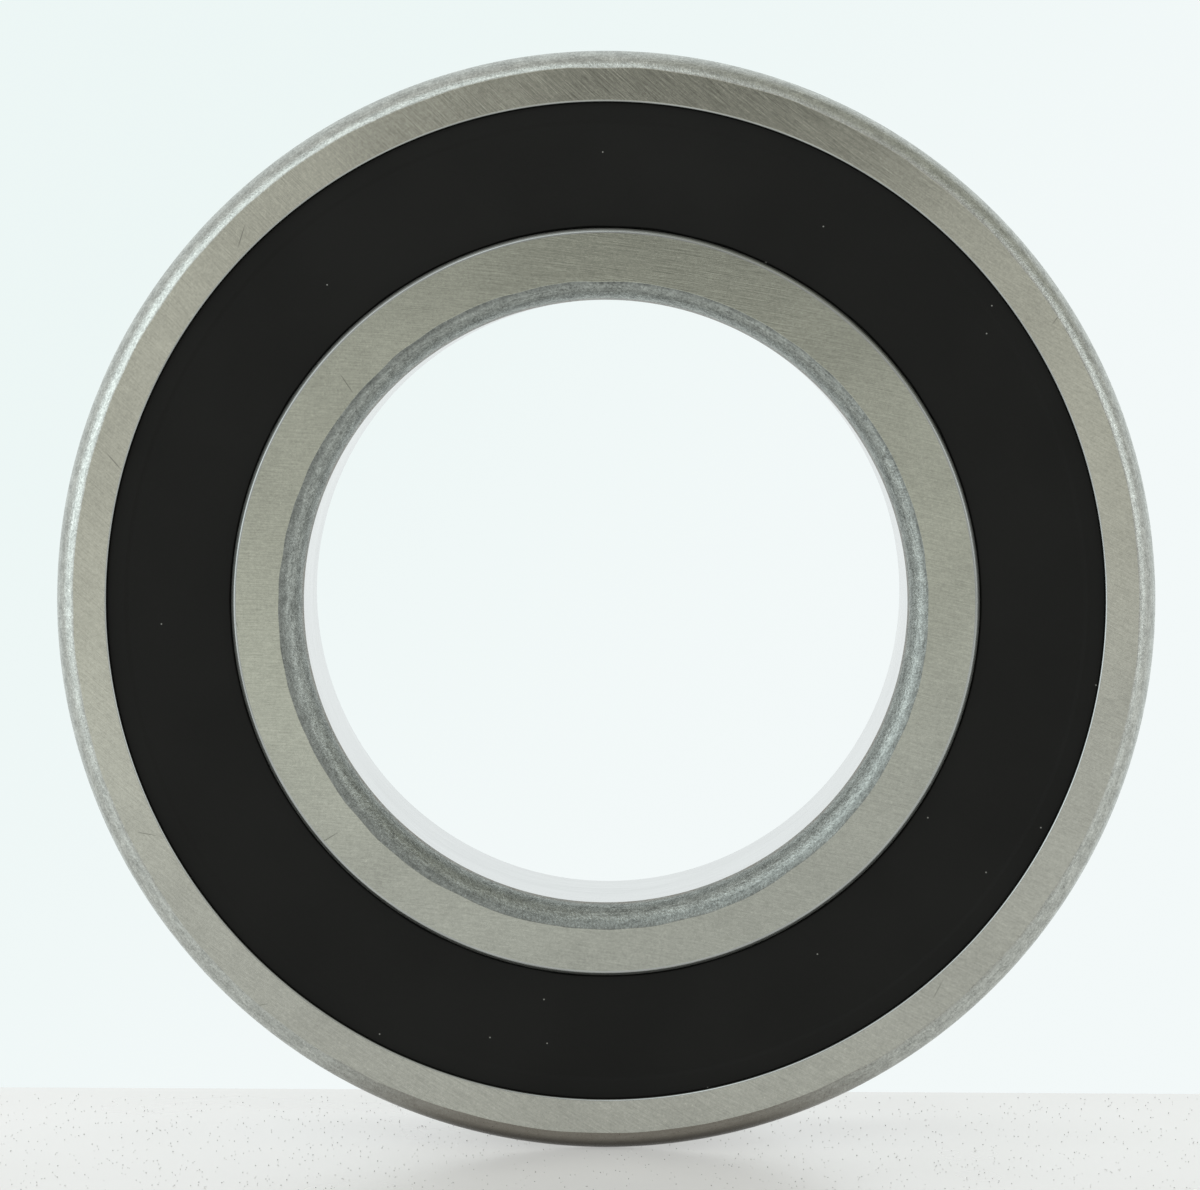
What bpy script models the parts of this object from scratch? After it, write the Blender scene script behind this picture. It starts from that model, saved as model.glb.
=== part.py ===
"""Sealed deep-groove ball bearing of the 55 x 100 x 21 mm metric size.

The bearing stands on its rim: its spin axis is world Y, its front face looks along -Y, and the
origin is its centre. Lengths are in metres. Every piece is modelled in the bearing's own frame,
where the axis is local Z and the front is +Z, and an empty stands that frame upright.
"""

import math

import bmesh
import bpy
from mathutils import Vector

MM = 0.001

# Boundary dimensions of the bearing
BORE_RADIUS = 27.5 * MM
OUTSIDE_RADIUS = 50.0 * MM
HALF_WIDTH = 10.5 * MM

# Rolling set
BALL_COUNT = 10
BALL_RADIUS = 7.144 * MM
PITCH_RADIUS = 38.75 * MM
RUNNING_GAP = 0.2 * MM  # between a ball and the bottom of either raceway
OUTER_GROOVE_RADIUS = 7.50 * MM  # 52.5 % of the ball's diameter
INNER_GROOVE_RADIUS = 7.36 * MM  # 51.5 % of the ball's diameter

# Rings
OUTER_FILLET = 1.6 * MM
BORE_FILLET = 2.0 * MM
OUTER_SHOULDER_RADIUS = 43.2 * MM
INNER_SHOULDER_RADIUS = 34.5 * MM
OUTER_FACE_EDGE_RADIUS = 45.35 * MM  # where the outer ring's side face ends inward
INNER_FACE_EDGE_RADIUS = 33.7 * MM  # where the inner ring's side face ends outward
SEAL_LAND_RADIUS = 34.0 * MM  # turned step on the inner ring under the seal's lip
SEAL_LAND_DEPTH = 2.1 * MM
SEAL_LAND_CHAMFER = 0.3 * MM

# Snap groove in the outer ring, its heights measured down from the side face
SNAP_GROOVE_RADIUS = 46.4 * MM
SNAP_GROOVE_MOUTH = 0.6 * MM
SNAP_GROOVE_TOP = 1.0 * MM
SNAP_GROOVE_FLOOR = 2.15 * MM

# Seals
SEAL_RECESS = 0.5 * MM
SEAL_GAP = 0.2 * MM  # to the metal around the seal, and between its rubber and its core
SEAL_SKIN = 0.5 * MM
LIP_HEIGHT = 1.3 * MM
LIP_ROOT_WIDTH = 1.2 * MM
LIP_TIP_WIDTH = 0.6 * MM
BEAD_WIDTH = 0.7 * MM
CORE_THICKNESS = 0.5 * MM

# Riveted cage of two pressed halves
CAGE_INNER_RADIUS = 35.2 * MM
CAGE_OUTER_RADIUS = 42.3 * MM
CAGE_THICKNESS = 1.0 * MM
CAGE_HALF_GAP = 0.1 * MM  # from the mid-plane to each half
POCKET_GAP = 0.3 * MM
RIVET_SHANK_RADIUS = 0.9 * MM
RIVET_HEAD_RADIUS = 1.7 * MM
RIVET_HEAD_HEIGHT = 0.8 * MM
RIVET_GAP = 0.2 * MM

# Fineness of the faceted surfaces
RING_SEGMENTS = 72
FILLET_SEGMENTS = 3
GROOVE_SEGMENTS = 3  # from a raceway's shoulder to its bottom
POCKET_SEGMENTS = 4  # from a pocket's pole to its foot
CAGE_SEGMENTS = 3  # across the cage's width
RIVET_SEGMENTS = 8
BALL_SUBDIVISIONS = 3
SHARP_ANGLE = math.radians(30)

# Name: linear colour, roughness, metallic
MATERIALS = {
    "outer_ring_steel": ((0.36, 0.37, 0.32), 0.36, 1.0),
    "inner_ring_steel": ((0.34, 0.35, 0.30), 0.36, 1.0),
    "ball_steel": ((0.62, 0.63, 0.64), 0.08, 1.0),
    "cage_steel": ((0.46, 0.46, 0.45), 0.42, 1.0),
    "rivet_steel": ((0.40, 0.40, 0.39), 0.35, 1.0),
    "seal_rubber": ((0.014, 0.014, 0.013), 0.55, 0.0),
    "seal_core_steel": ((0.42, 0.42, 0.41), 0.45, 1.0),
}

FLIPPED = (math.pi, 0, 0)  # turns a front piece into its rear copy


# Scene and mesh helpers


def clear_scene():
    for old in list(bpy.data.objects):
        bpy.data.objects.remove(old, do_unlink=True)


def make_material(name):
    colour, roughness, metallic = MATERIALS[name]
    material = bpy.data.materials.new(name)
    material.use_nodes = True
    shader = material.node_tree.nodes["Principled BSDF"]
    shader.inputs["Base Color"].default_value = (*colour, 1.0)
    shader.inputs["Roughness"].default_value = roughness
    shader.inputs["Metallic"].default_value = metallic
    material.diffuse_color = (*colour, 1.0)
    return material


def add_object(name, data, parent=None, location=(0, 0, 0), rotation=(0, 0, 0)):
    """Link an object to the scene; one with no data is an empty."""
    new = bpy.data.objects.new(name, data)
    new.location = location
    new.rotation_euler = rotation
    new.parent = parent
    bpy.context.scene.collection.objects.link(new)
    return new


def finish_mesh(bm, name, material_name):
    """Make a smooth-shaded mesh of one material, with its faces pointing out."""
    bmesh.ops.recalc_face_normals(bm, faces=bm.faces)
    mesh = bpy.data.meshes.new(name)
    bm.to_mesh(mesh)
    bm.free()
    mesh.shade_smooth()
    mesh.set_sharp_from_angle(angle=SHARP_ANGLE)
    mesh.materials.append(make_material(material_name))
    return mesh


def polar(radius, angle, height=0.0):
    return Vector((radius * math.cos(angle), radius * math.sin(angle), height))


def turned_mesh(name, outline, material_name, segments=RING_SEGMENTS):
    """Turn an outline of (radius, height) points about local Z.

    An outline that starts off the axis is a closed loop; one that starts on it also ends on it.
    """
    bm = bmesh.new()
    verts = [bm.verts.new((radius, 0, height)) for radius, height in outline]
    edges = [bm.edges.new(pair) for pair in zip(verts, verts[1:])]
    if outline[0][0] > 0:
        edges.append(bm.edges.new((verts[-1], verts[0])))
    bmesh.ops.spin(
        bm, geom=verts + edges, axis=(0, 0, 1), angle=2 * math.pi, steps=segments, use_merge=True
    )
    bmesh.ops.remove_doubles(bm, verts=bm.verts, dist=MM / 1000)
    return finish_mesh(bm, name, material_name)


def arc(centre_radius, centre_height, radius, start, end, segments):
    """Outline points along an arc; angles are measured from the outward radial direction."""
    angles = [start + (end - start) * step / segments for step in range(segments + 1)]
    return [
        (centre_radius + radius * math.cos(angle), centre_height + radius * math.sin(angle))
        for angle in angles
    ]


def mirrored(upper):
    """Close a symmetric outline from its upper half, whose last point is on the mid-plane."""
    return upper + [(radius, -height) for radius, height in reversed(upper[:-1])]


# Rings


def outer_ring_outline():
    fillet = arc(
        OUTSIDE_RADIUS - OUTER_FILLET, HALF_WIDTH - OUTER_FILLET, OUTER_FILLET,
        0, math.pi / 2, FILLET_SEGMENTS,
    )
    seal_seat = [
        (OUTER_FACE_EDGE_RADIUS, HALF_WIDTH),
        (OUTER_FACE_EDGE_RADIUS, HALF_WIDTH - SNAP_GROOVE_MOUTH),
        (SNAP_GROOVE_RADIUS, HALF_WIDTH - SNAP_GROOVE_TOP),
        (SNAP_GROOVE_RADIUS, HALF_WIDTH - SNAP_GROOVE_FLOOR),
        (OUTER_SHOULDER_RADIUS, HALF_WIDTH - SNAP_GROOVE_FLOOR),
    ]
    bottom = PITCH_RADIUS + BALL_RADIUS + RUNNING_GAP
    half_angle = math.acos(1 - (bottom - OUTER_SHOULDER_RADIUS) / OUTER_GROOVE_RADIUS)
    raceway = arc(
        bottom - OUTER_GROOVE_RADIUS, 0, OUTER_GROOVE_RADIUS, half_angle, 0, GROOVE_SEGMENTS
    )
    return mirrored(fillet + seal_seat + raceway)


def inner_ring_outline():
    fillet = arc(
        BORE_RADIUS + BORE_FILLET, HALF_WIDTH - BORE_FILLET, BORE_FILLET,
        math.pi, math.pi / 2, FILLET_SEGMENTS,
    )
    seal_land = [
        (INNER_FACE_EDGE_RADIUS, HALF_WIDTH),
        (SEAL_LAND_RADIUS, HALF_WIDTH - SEAL_LAND_CHAMFER),
        (SEAL_LAND_RADIUS, HALF_WIDTH - SEAL_LAND_DEPTH),
        (INNER_SHOULDER_RADIUS, HALF_WIDTH - SEAL_LAND_DEPTH),
    ]
    bottom = PITCH_RADIUS - BALL_RADIUS - RUNNING_GAP
    half_angle = math.acos(1 - (INNER_SHOULDER_RADIUS - bottom) / INNER_GROOVE_RADIUS)
    raceway = arc(
        bottom + INNER_GROOVE_RADIUS, 0, INNER_GROOVE_RADIUS,
        math.pi - half_angle, math.pi, GROOVE_SEGMENTS,
    )
    return mirrored(fillet + seal_land + raceway)


def add_rings(axis):
    outer = turned_mesh("outer_ring", outer_ring_outline(), "outer_ring_steel")
    inner = turned_mesh("inner_ring", inner_ring_outline(), "inner_ring_steel")
    add_object("outer_ring", outer, axis)
    add_object("inner_ring", inner, axis)


# Seals


def seal_rubber_outline():
    """A channel that opens inward: a front skin, a lip on the inside, a snap bead outside."""
    front = HALF_WIDTH - SEAL_RECESS
    skin_back = front - SEAL_SKIN
    lip_radius = SEAL_LAND_RADIUS + SEAL_GAP
    lip_back = front - LIP_HEIGHT
    rim_radius = OUTER_FACE_EDGE_RADIUS - SEAL_GAP
    bead_radius = SNAP_GROOVE_RADIUS - SEAL_GAP
    bead_top = HALF_WIDTH - SNAP_GROOVE_TOP - SEAL_GAP
    bead_back = HALF_WIDTH - SNAP_GROOVE_FLOOR + SEAL_GAP
    return [
        (lip_radius, front),
        (rim_radius, front),
        (rim_radius, HALF_WIDTH - SNAP_GROOVE_MOUTH - SEAL_GAP),
        (bead_radius, bead_top),
        (bead_radius, bead_back),
        (rim_radius - BEAD_WIDTH, bead_back),
        (rim_radius - BEAD_WIDTH, skin_back),
        (lip_radius + LIP_ROOT_WIDTH, skin_back),
        (lip_radius + LIP_TIP_WIDTH, lip_back),
        (lip_radius, lip_back),
    ]


def seal_core_outline():
    """A pressed washer under the rubber's skin, its rim bent towards the balls."""
    top = HALF_WIDTH - SEAL_RECESS - SEAL_SKIN - SEAL_GAP
    rim_back = HALF_WIDTH - SNAP_GROOVE_FLOOR + SEAL_GAP
    inner = SEAL_LAND_RADIUS + SEAL_GAP + LIP_ROOT_WIDTH + SEAL_GAP
    outer = OUTER_FACE_EDGE_RADIUS - SEAL_GAP - BEAD_WIDTH - SEAL_GAP
    return [
        (inner, top),
        (outer, top),
        (outer, rim_back),
        (outer - CORE_THICKNESS, rim_back),
        (outer - CORE_THICKNESS, top - CORE_THICKNESS),
        (inner, top - CORE_THICKNESS),
    ]


def add_seals(axis):
    rubber = turned_mesh("seal_rubber", seal_rubber_outline(), "seal_rubber")
    core = turned_mesh("seal_core", seal_core_outline(), "seal_core_steel")
    for side, rotation in (("front", (0, 0, 0)), ("rear", FLIPPED)):
        add_object(f"seal_{side}_rubber", rubber, axis, rotation=rotation)
        add_object(f"seal_{side}_core", core, axis, rotation=rotation)


# Balls and cage


def ball_angle(number):
    """Balls are counted from the top, clockwise as seen from the front."""
    return math.pi / 2 - number * 2 * math.pi / BALL_COUNT


def add_balls(cage_axis):
    bm = bmesh.new()
    bmesh.ops.create_icosphere(bm, subdivisions=BALL_SUBDIVISIONS, radius=BALL_RADIUS)
    ball = finish_mesh(bm, "ball", "ball_steel")
    for number in range(BALL_COUNT):
        centre = polar(PITCH_RADIUS, ball_angle(number))
        add_object(f"ball_{number + 1:02d}", ball, cage_axis, location=centre)


def pocket_row(centre_angle, turn, sphere_radius, foot_height):
    """Points across the cage on one pocket's sphere, from the cage's inner edge to its outer.

    turn is 0 at the pocket's pole, and -1 and 1 where the sphere comes down to foot_height.
    """
    row = []
    for step in range(CAGE_SEGMENTS + 1):
        share = step / CAGE_SEGMENTS
        radius = CAGE_INNER_RADIUS + share * (CAGE_OUTER_RADIUS - CAGE_INNER_RADIUS)
        reach = radius**2 + PITCH_RADIUS**2
        product = 2 * radius * PITCH_RADIUS
        foot_angle = math.acos((reach - sphere_radius**2 + foot_height**2) / product)
        angle = foot_angle * math.sin(turn * math.pi / 2)
        height = math.sqrt(sphere_radius**2 - reach + product * math.cos(angle))
        row.append(polar(radius, centre_angle + angle, height))
    return row


def cage_half_mesh():
    """A pressed ribbon: a flat land between neighbouring balls and a ball cup at each pocket."""
    cup_inside = BALL_RADIUS + POCKET_GAP
    land_top = CAGE_HALF_GAP + CAGE_THICKNESS
    bm = bmesh.new()
    sections = []
    for number in range(BALL_COUNT):
        for step in range(-POCKET_SEGMENTS, POCKET_SEGMENTS + 1):
            turn = -step / POCKET_SEGMENTS
            angle = ball_angle(number)
            inside = pocket_row(angle, turn, cup_inside, CAGE_HALF_GAP)
            outside = pocket_row(angle, turn, cup_inside + CAGE_THICKNESS, land_top)
            sections.append([bm.verts.new(point) for point in inside + outside[::-1]])
    for section, following in zip(sections, sections[1:] + sections[:1]):
        corners = zip(section, section[1:] + section[:1], following[1:] + following[:1], following)
        for face in corners:
            bm.faces.new(face)
    return finish_mesh(bm, "cage_half", "cage_steel")


def rivet_angles():
    half_pitch = math.pi / BALL_COUNT
    return [ball_angle(number) - half_pitch for number in range(BALL_COUNT)]


def rivet_outline():
    """A round-headed rivet, its second head formed like the first."""
    head_back = CAGE_HALF_GAP + CAGE_THICKNESS + RIVET_GAP
    head_top = head_back + RIVET_HEAD_HEIGHT
    upper = [
        (0, head_top),
        (0.7 * RIVET_HEAD_RADIUS, head_back + 0.7 * RIVET_HEAD_HEIGHT),
        (RIVET_HEAD_RADIUS, head_back),
        (RIVET_SHANK_RADIUS, head_back),
    ]
    return upper + [(radius, -height) for radius, height in reversed(upper)]


def hole_cutter(cage_axis):
    """One cylinder for each rivet hole, long enough to pass through both cage halves."""
    bm = bmesh.new()
    for angle in rivet_angles():
        hole = bmesh.ops.create_cone(
            bm, cap_ends=True, segments=RIVET_SEGMENTS, depth=4 * CAGE_THICKNESS,
            radius1=RIVET_SHANK_RADIUS + RIVET_GAP, radius2=RIVET_SHANK_RADIUS + RIVET_GAP,
        )
        bmesh.ops.translate(bm, verts=hole["verts"], vec=polar(PITCH_RADIUS, angle))
    cutter = add_object("rivet_holes", finish_mesh(bm, "rivet_holes", "cage_steel"), cage_axis)
    cutter.hide_render = True
    cutter.display_type = "WIRE"
    return cutter


def add_cage(cage_axis):
    half = cage_half_mesh()
    cutter = hole_cutter(cage_axis)
    for side, rotation in (("front", (0, 0, 0)), ("rear", FLIPPED)):
        piece = add_object(f"cage_{side}", half, cage_axis, rotation=rotation)
        holes = piece.modifiers.new("rivet_holes", "BOOLEAN")
        holes.operation = "DIFFERENCE"
        holes.object = cutter
    rivet = turned_mesh("cage_rivet", rivet_outline(), "rivet_steel", RIVET_SEGMENTS)
    for number, angle in enumerate(rivet_angles(), start=1):
        add_object(f"cage_rivet_{number:02d}", rivet, cage_axis, polar(PITCH_RADIUS, angle))


def build():
    clear_scene()
    axis = add_object("bearing_axis", None, rotation=(math.pi / 2, 0, 0))
    cage_axis = add_object("cage_axis", None, axis)
    add_rings(axis)
    add_seals(axis)
    add_balls(cage_axis)
    add_cage(cage_axis)


build()
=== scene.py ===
"""Looks of the sealed deep-groove ball bearing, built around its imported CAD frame.

Every ring, ball, cage half, rivet, seal and core is a fine mesh that stands for its CAD node and
rides on the same body. The spin axis is the row's Y, so an outline is a list of (radius, y)
points in metres. Radii and widths that the frame holds are read from it.
"""

import math

import bmesh
import bpy
import numpy as np
from mathutils import Matrix, Vector


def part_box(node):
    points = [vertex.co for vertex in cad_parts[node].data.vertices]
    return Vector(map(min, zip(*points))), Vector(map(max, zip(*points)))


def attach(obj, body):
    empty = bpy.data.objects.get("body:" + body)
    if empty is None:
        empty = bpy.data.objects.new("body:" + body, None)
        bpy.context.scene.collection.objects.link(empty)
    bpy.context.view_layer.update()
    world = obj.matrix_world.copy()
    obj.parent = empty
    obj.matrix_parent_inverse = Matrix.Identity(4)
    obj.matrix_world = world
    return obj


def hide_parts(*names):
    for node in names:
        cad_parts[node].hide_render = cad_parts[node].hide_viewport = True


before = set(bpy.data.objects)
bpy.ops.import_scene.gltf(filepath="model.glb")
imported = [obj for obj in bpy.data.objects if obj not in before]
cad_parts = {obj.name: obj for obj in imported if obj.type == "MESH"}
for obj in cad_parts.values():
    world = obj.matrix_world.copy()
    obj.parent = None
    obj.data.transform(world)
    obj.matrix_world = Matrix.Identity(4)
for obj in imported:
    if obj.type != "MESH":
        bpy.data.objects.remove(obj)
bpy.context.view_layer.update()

MM = 0.001
DEGREE = math.pi / 180
TURNED_SEGMENTS = 360
LONG_STRETCH = 0.6 * MM
EDGE_HOLD = 0.04 * MM  # strip that keeps a long straight stretch's shading flat up to its ends
FLATNESS = 0.01 * MM  # a point this close to a side face's plane is part of the face
SHARP_ANGLE = 40 * DEGREE
ALONG_Y = Matrix.Rotation(90 * DEGREE, 3, "X")


# ---------------------------------------------------------------- sizes that the frame holds


def node_points(node):
    return np.array([vertex.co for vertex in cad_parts[node].data.vertices])


def radii_of(points):
    return np.hypot(points[:, 0], points[:, 2])


def face_radii(node):
    """Inner and outer radius of a ring's flat front side face."""
    points = node_points(node)
    radii = radii_of(points[points[:, 1] < points[:, 1].min() + FLATNESS])
    return radii.min(), radii.max()


BALLS = sorted(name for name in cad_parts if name.startswith("ball_"))
RIVETS = sorted(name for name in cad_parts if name.startswith("cage_rivet_"))
HALF_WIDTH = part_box("outer_ring")[1].y
OUTSIDE_RADIUS = radii_of(node_points("outer_ring")).max()
BORE_RADIUS = radii_of(node_points("inner_ring")).min()
INNER_SHOULDER_RADIUS = radii_of(node_points("inner_ring")).max()
OUTER_FACE = face_radii("outer_ring")
INNER_FACE = face_radii("inner_ring")
SNAP_BEAD_RADIUS = radii_of(node_points("seal_front_rubber")).max()
SEAL_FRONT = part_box("seal_rear_rubber")[1].y
SEAL_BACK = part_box("seal_rear_rubber")[0].y
CORE_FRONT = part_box("seal_rear_core")[1].y
CORE_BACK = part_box("seal_rear_core")[0].y
CORE_INNER_RADIUS = radii_of(node_points("seal_rear_core")).min()
CORE_OUTER_RADIUS = radii_of(node_points("seal_rear_core")).max()
CAGE_INNER_RADIUS = radii_of(node_points("cage_front")).min()
CAGE_OUTER_RADIUS = radii_of(node_points("cage_front")).max()
CAGE_LAND_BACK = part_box("cage_rear")[0].y
CAGE_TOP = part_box("cage_rear")[1].y
BALL_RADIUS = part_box(BALLS[0])[1].y
PITCH_RADIUS = sum(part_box(BALLS[0]), Vector()).length / 2
RIVET_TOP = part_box(RIVETS[0])[1].y


# ---------------------------------------------------------------- details finer than the frame

CORNER_EDGE_ANGLE = 13 * DEGREE  # between a turned corner and the rim, bore or outer face
BORE_CORNER_EDGE_ANGLE = 10 * DEGREE  # nearly, between the bore's corner and the inner face
BORE_CORNER_RUNOUT = Vector((-0.17, 0, -0.30)) * MM  # the corner was turned off the bore's axis
CORNER_STEPS = 16
BORE_CORNER_STEPS = 20
EDGE_WAVER = 0.04 * MM  # how far a tumbled corner's edge strays from a true circle
LIP_WAVER = 0.03 * MM
LIP_WIDTH = 1.5 * MM
FACE_EDGE_ROUND = 0.16 * MM
FACE_EDGE_STEPS = 5
CHAMFER_ROUND = 0.15 * MM
LAND_RADIUS = INNER_FACE[1] + 0.30 * MM
LAND_DEPTH = 2.1 * MM
SEAT_ROUND = 0.12 * MM
SHOULDER_DROP = 0.5 * MM  # a seat's outline ends this far along the shoulder
SEAL_SLIP = 0.03 * MM  # daylight between the rubber and the steel
SNAP_GROOVE_MOUTH = 0.6 * MM
SNAP_GROOVE_TOP = 1.0 * MM
SNAP_GROOVE_FLOOR = 2.15 * MM
SNAP_GROOVE_RADIUS = SNAP_BEAD_RADIUS + 0.2 * MM
SNAP_BEAD_SLACK = 0.2 * MM
RUBBER_ROUND = 0.07 * MM
OUTER_SHOULDER_RADIUS = 43.2 * MM
RACEWAY_GAP = 0.2 * MM
RACEWAY_STEPS = 14
OUTER_GROOVE_RADIUS = 7.50 * MM
INNER_GROOVE_RADIUS = 7.36 * MM
CORE_THICKNESS = 0.5 * MM
CORE_ROUND = 0.1 * MM
CAGE_THICKNESS = 1.0 * MM
CAGE_BEND_RADIUS = 0.9 * MM
CAGE_EDGE_ROUND = 0.12 * MM
CAGE_COLUMNS = 9
CUP_STEPS = 10
BEND_STEPS = 5
BALL_CUTS = 19
DUST_GRAINS = 9000
DUST_REACH = 0.12
DUST_SIZES = (0.03 * MM, 0.065 * MM)
DUST_FREE = 3 * MM  # no grains this close to the line that the bearing stands on
RIVET_SEGMENTS = 32
WAVER_LOBES = 60
RIVET_HEAD_RADIUS = 1.7 * MM
RIVET_SHANK_RADIUS = 0.95 * MM
RIVET_HOLE_RADIUS = 1.1 * MM


# ---------------------------------------------------------------- light and camera

ROOM = (0.64, 0.635, 0.61, 1)
BACKDROP = (0.88, 0.92, 0.92, 1)
BACKDROP_SEEN = ((0.845, 0.925, 0.915, 1), (0.895, 0.945, 0.945, 1))
# Parts of the studio: degrees off -Y, clock angle seen from -Y (0 is +X, 90 is up), radius in
# degrees of the even middle, radius where it has faded out, colour.
STUDIO = (
    (72, 52, 14, 42, (0.43, 0.43, 0.375, 1)),  # unlit corner, upper right
    (50, 168, 8, 36, (1.62, 1.74, 1.76, 1)),  # broad softbox, left
    (38, 112, 8, 20, (1.52, 1.63, 1.64, 1)),  # small lamp, upper left
    (50, 16, 5, 17, (1.60, 1.68, 1.68, 1)),  # strip lamp, right
    (2.4, 90, 0.3, 4.3, (0.18, 0.18, 0.165, 1)),  # camera
    (3.9, 75, 0.5, 3.8, (0.07, 0.07, 0.063, 1)),  # dark hood over the camera
)
# Where the photograph was taken from: nearly on the axis and a little above it, looking down
# by 3.4 degrees.
CAMERA_PLACE = (0.00637, -0.47445, 0.02825)
CAMERA_TURN = (86.61 * DEGREE, 0, 0.844 * DEGREE)
CAMERA_LENS = 153.69
SENSOR_WIDTH = 36


# ---------------------------------------------------------------- outlines


def arc(centre, radius, start, end, steps):
    """Outline points along an arc; angles turn from the outward radius towards +Y."""
    angles = [start + (end - start) * step / steps for step in range(steps + 1)]
    return [(centre[0] + radius * math.cos(a), centre[1] + radius * math.sin(a)) for a in angles]


def arc_between(start, end, start_angle, end_angle, steps):
    """A circular arc between the two angles, stretched along each axis to run from start to end."""
    circle = arc((0, 0), 1, start_angle, end_angle, steps)
    first, last = circle[0], circle[-1]
    scale = [(end[axis] - start[axis]) / (last[axis] - first[axis]) for axis in (0, 1)]
    return [
        tuple(start[axis] + scale[axis] * (point[axis] - first[axis]) for axis in (0, 1))
        for point in circle
    ]


def rounded(points, radius, steps=4):
    """Round every inner corner of an open outline with the same radius."""
    result = [points[0]]
    for before, corner, after in zip(points, points[1:], points[2:]):
        corner, before, after = Vector(corner), Vector(before), Vector(after)
        towards = (before - corner).normalized()
        away = (after - corner).normalized()
        reach = radius / math.tan(towards.angle(away) / 2)
        for step in range(steps + 1):
            share = step / steps
            first = corner + towards * reach * (1 - share)
            second = corner + away * reach * share
            result.append(tuple(first.lerp(second, share)))
    return result + [points[-1]]


def held(points):
    """Add a point close to each end of every long straight stretch."""
    result = [points[0]]
    for start, end in zip(points, points[1:]):
        length = math.dist(start, end)
        if length > LONG_STRETCH:
            for share in (EDGE_HOLD / length, 1 - EDGE_HOLD / length):
                result.append(tuple(Vector(start).lerp(Vector(end), share)))
        result.append(end)
    return result


def mirrored_runs(runs):
    """The other half of a symmetric outline, in the order that goes on from the first half."""
    return [(zone, [(r, -y) for r, y in reversed(points)]) for zone, points in reversed(runs)]


def outer_ring_runs():
    """Rim, corner, side face, seal seat and raceway, from the rim's edge to the mid-plane."""
    fillet = OUTSIDE_RADIUS - OUTER_FACE[1]
    corner = arc_between(
        (OUTSIDE_RADIUS, HALF_WIDTH - fillet), (OUTER_FACE[1], HALF_WIDTH),
        CORNER_EDGE_ANGLE, 90 * DEGREE - CORNER_EDGE_ANGLE, CORNER_STEPS,
    )
    edge = arc(
        (OUTER_FACE[0] + FACE_EDGE_ROUND, HALF_WIDTH - FACE_EDGE_ROUND), FACE_EDGE_ROUND,
        90 * DEGREE, 180 * DEGREE, FACE_EDGE_STEPS,
    )
    floor = HALF_WIDTH - SNAP_GROOVE_FLOOR
    seat = rounded([
        edge[-1],
        (OUTER_FACE[0], HALF_WIDTH - SNAP_GROOVE_MOUTH),
        (SNAP_GROOVE_RADIUS, HALF_WIDTH - SNAP_GROOVE_TOP),
        (SNAP_GROOVE_RADIUS, floor),
        (OUTER_SHOULDER_RADIUS, floor),
        (OUTER_SHOULDER_RADIUS, floor - SHOULDER_DROP),
    ], SEAT_ROUND)
    bottom = PITCH_RADIUS + BALL_RADIUS + RACEWAY_GAP
    half_angle = math.acos(1 - (bottom - OUTER_SHOULDER_RADIUS) / OUTER_GROOVE_RADIUS)
    raceway = arc(
        (bottom - OUTER_GROOVE_RADIUS, 0), OUTER_GROOVE_RADIUS, half_angle, 0, RACEWAY_STEPS
    )
    return [
        ("corner", corner),
        ("face", [corner[-1], edge[0]]),
        ("edge", edge),
        ("seat", seat + [raceway[0]]),
        ("raceway", raceway),
    ]


def inner_ring_runs():
    """Bore corner, side face, seal land and raceway, from the bore's edge to the mid-plane.

    The corner has a point close to the face, so that the edge between the two looks crisp.
    """
    fillet = INNER_FACE[0] - BORE_RADIUS
    start_angle = 180 * DEGREE - CORNER_EDGE_ANGLE
    end_angle = 90 * DEGREE + BORE_CORNER_EDGE_ANGLE
    corner = arc_between(
        (BORE_RADIUS, HALF_WIDTH - fillet), (INNER_FACE[0], HALF_WIDTH),
        start_angle, end_angle, BORE_CORNER_STEPS,
    )
    hold = EDGE_HOLD / math.dist(corner[-2], corner[-1])
    corner.insert(-1, tuple(Vector(corner[-1]).lerp(Vector(corner[-2]), hold)))
    chamfer = LAND_RADIUS - INNER_FACE[1]
    edge = rounded([
        (INNER_FACE[1] - CHAMFER_ROUND, HALF_WIDTH),
        (INNER_FACE[1], HALF_WIDTH),
        (INNER_FACE[1] + 0.5 * chamfer, HALF_WIDTH - 0.5 * chamfer),
    ], CHAMFER_ROUND)
    seat = rounded([
        edge[-1],
        (LAND_RADIUS, HALF_WIDTH - chamfer),
        (LAND_RADIUS, HALF_WIDTH - LAND_DEPTH),
        (INNER_SHOULDER_RADIUS, HALF_WIDTH - LAND_DEPTH),
        (INNER_SHOULDER_RADIUS, HALF_WIDTH - LAND_DEPTH - SHOULDER_DROP),
    ], SEAT_ROUND)
    bottom = PITCH_RADIUS - BALL_RADIUS - RACEWAY_GAP
    half_angle = math.acos(1 - (INNER_SHOULDER_RADIUS - bottom) / INNER_GROOVE_RADIUS)
    raceway = arc(
        (bottom + INNER_GROOVE_RADIUS, 0), INNER_GROOVE_RADIUS,
        180 * DEGREE - half_angle, 180 * DEGREE, RACEWAY_STEPS,
    )
    return [
        ("corner", corner),
        ("face", [corner[-1], edge[0]]),
        ("edge", edge),
        ("seat", seat + [raceway[0]]),
        ("raceway", raceway),
    ]


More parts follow.
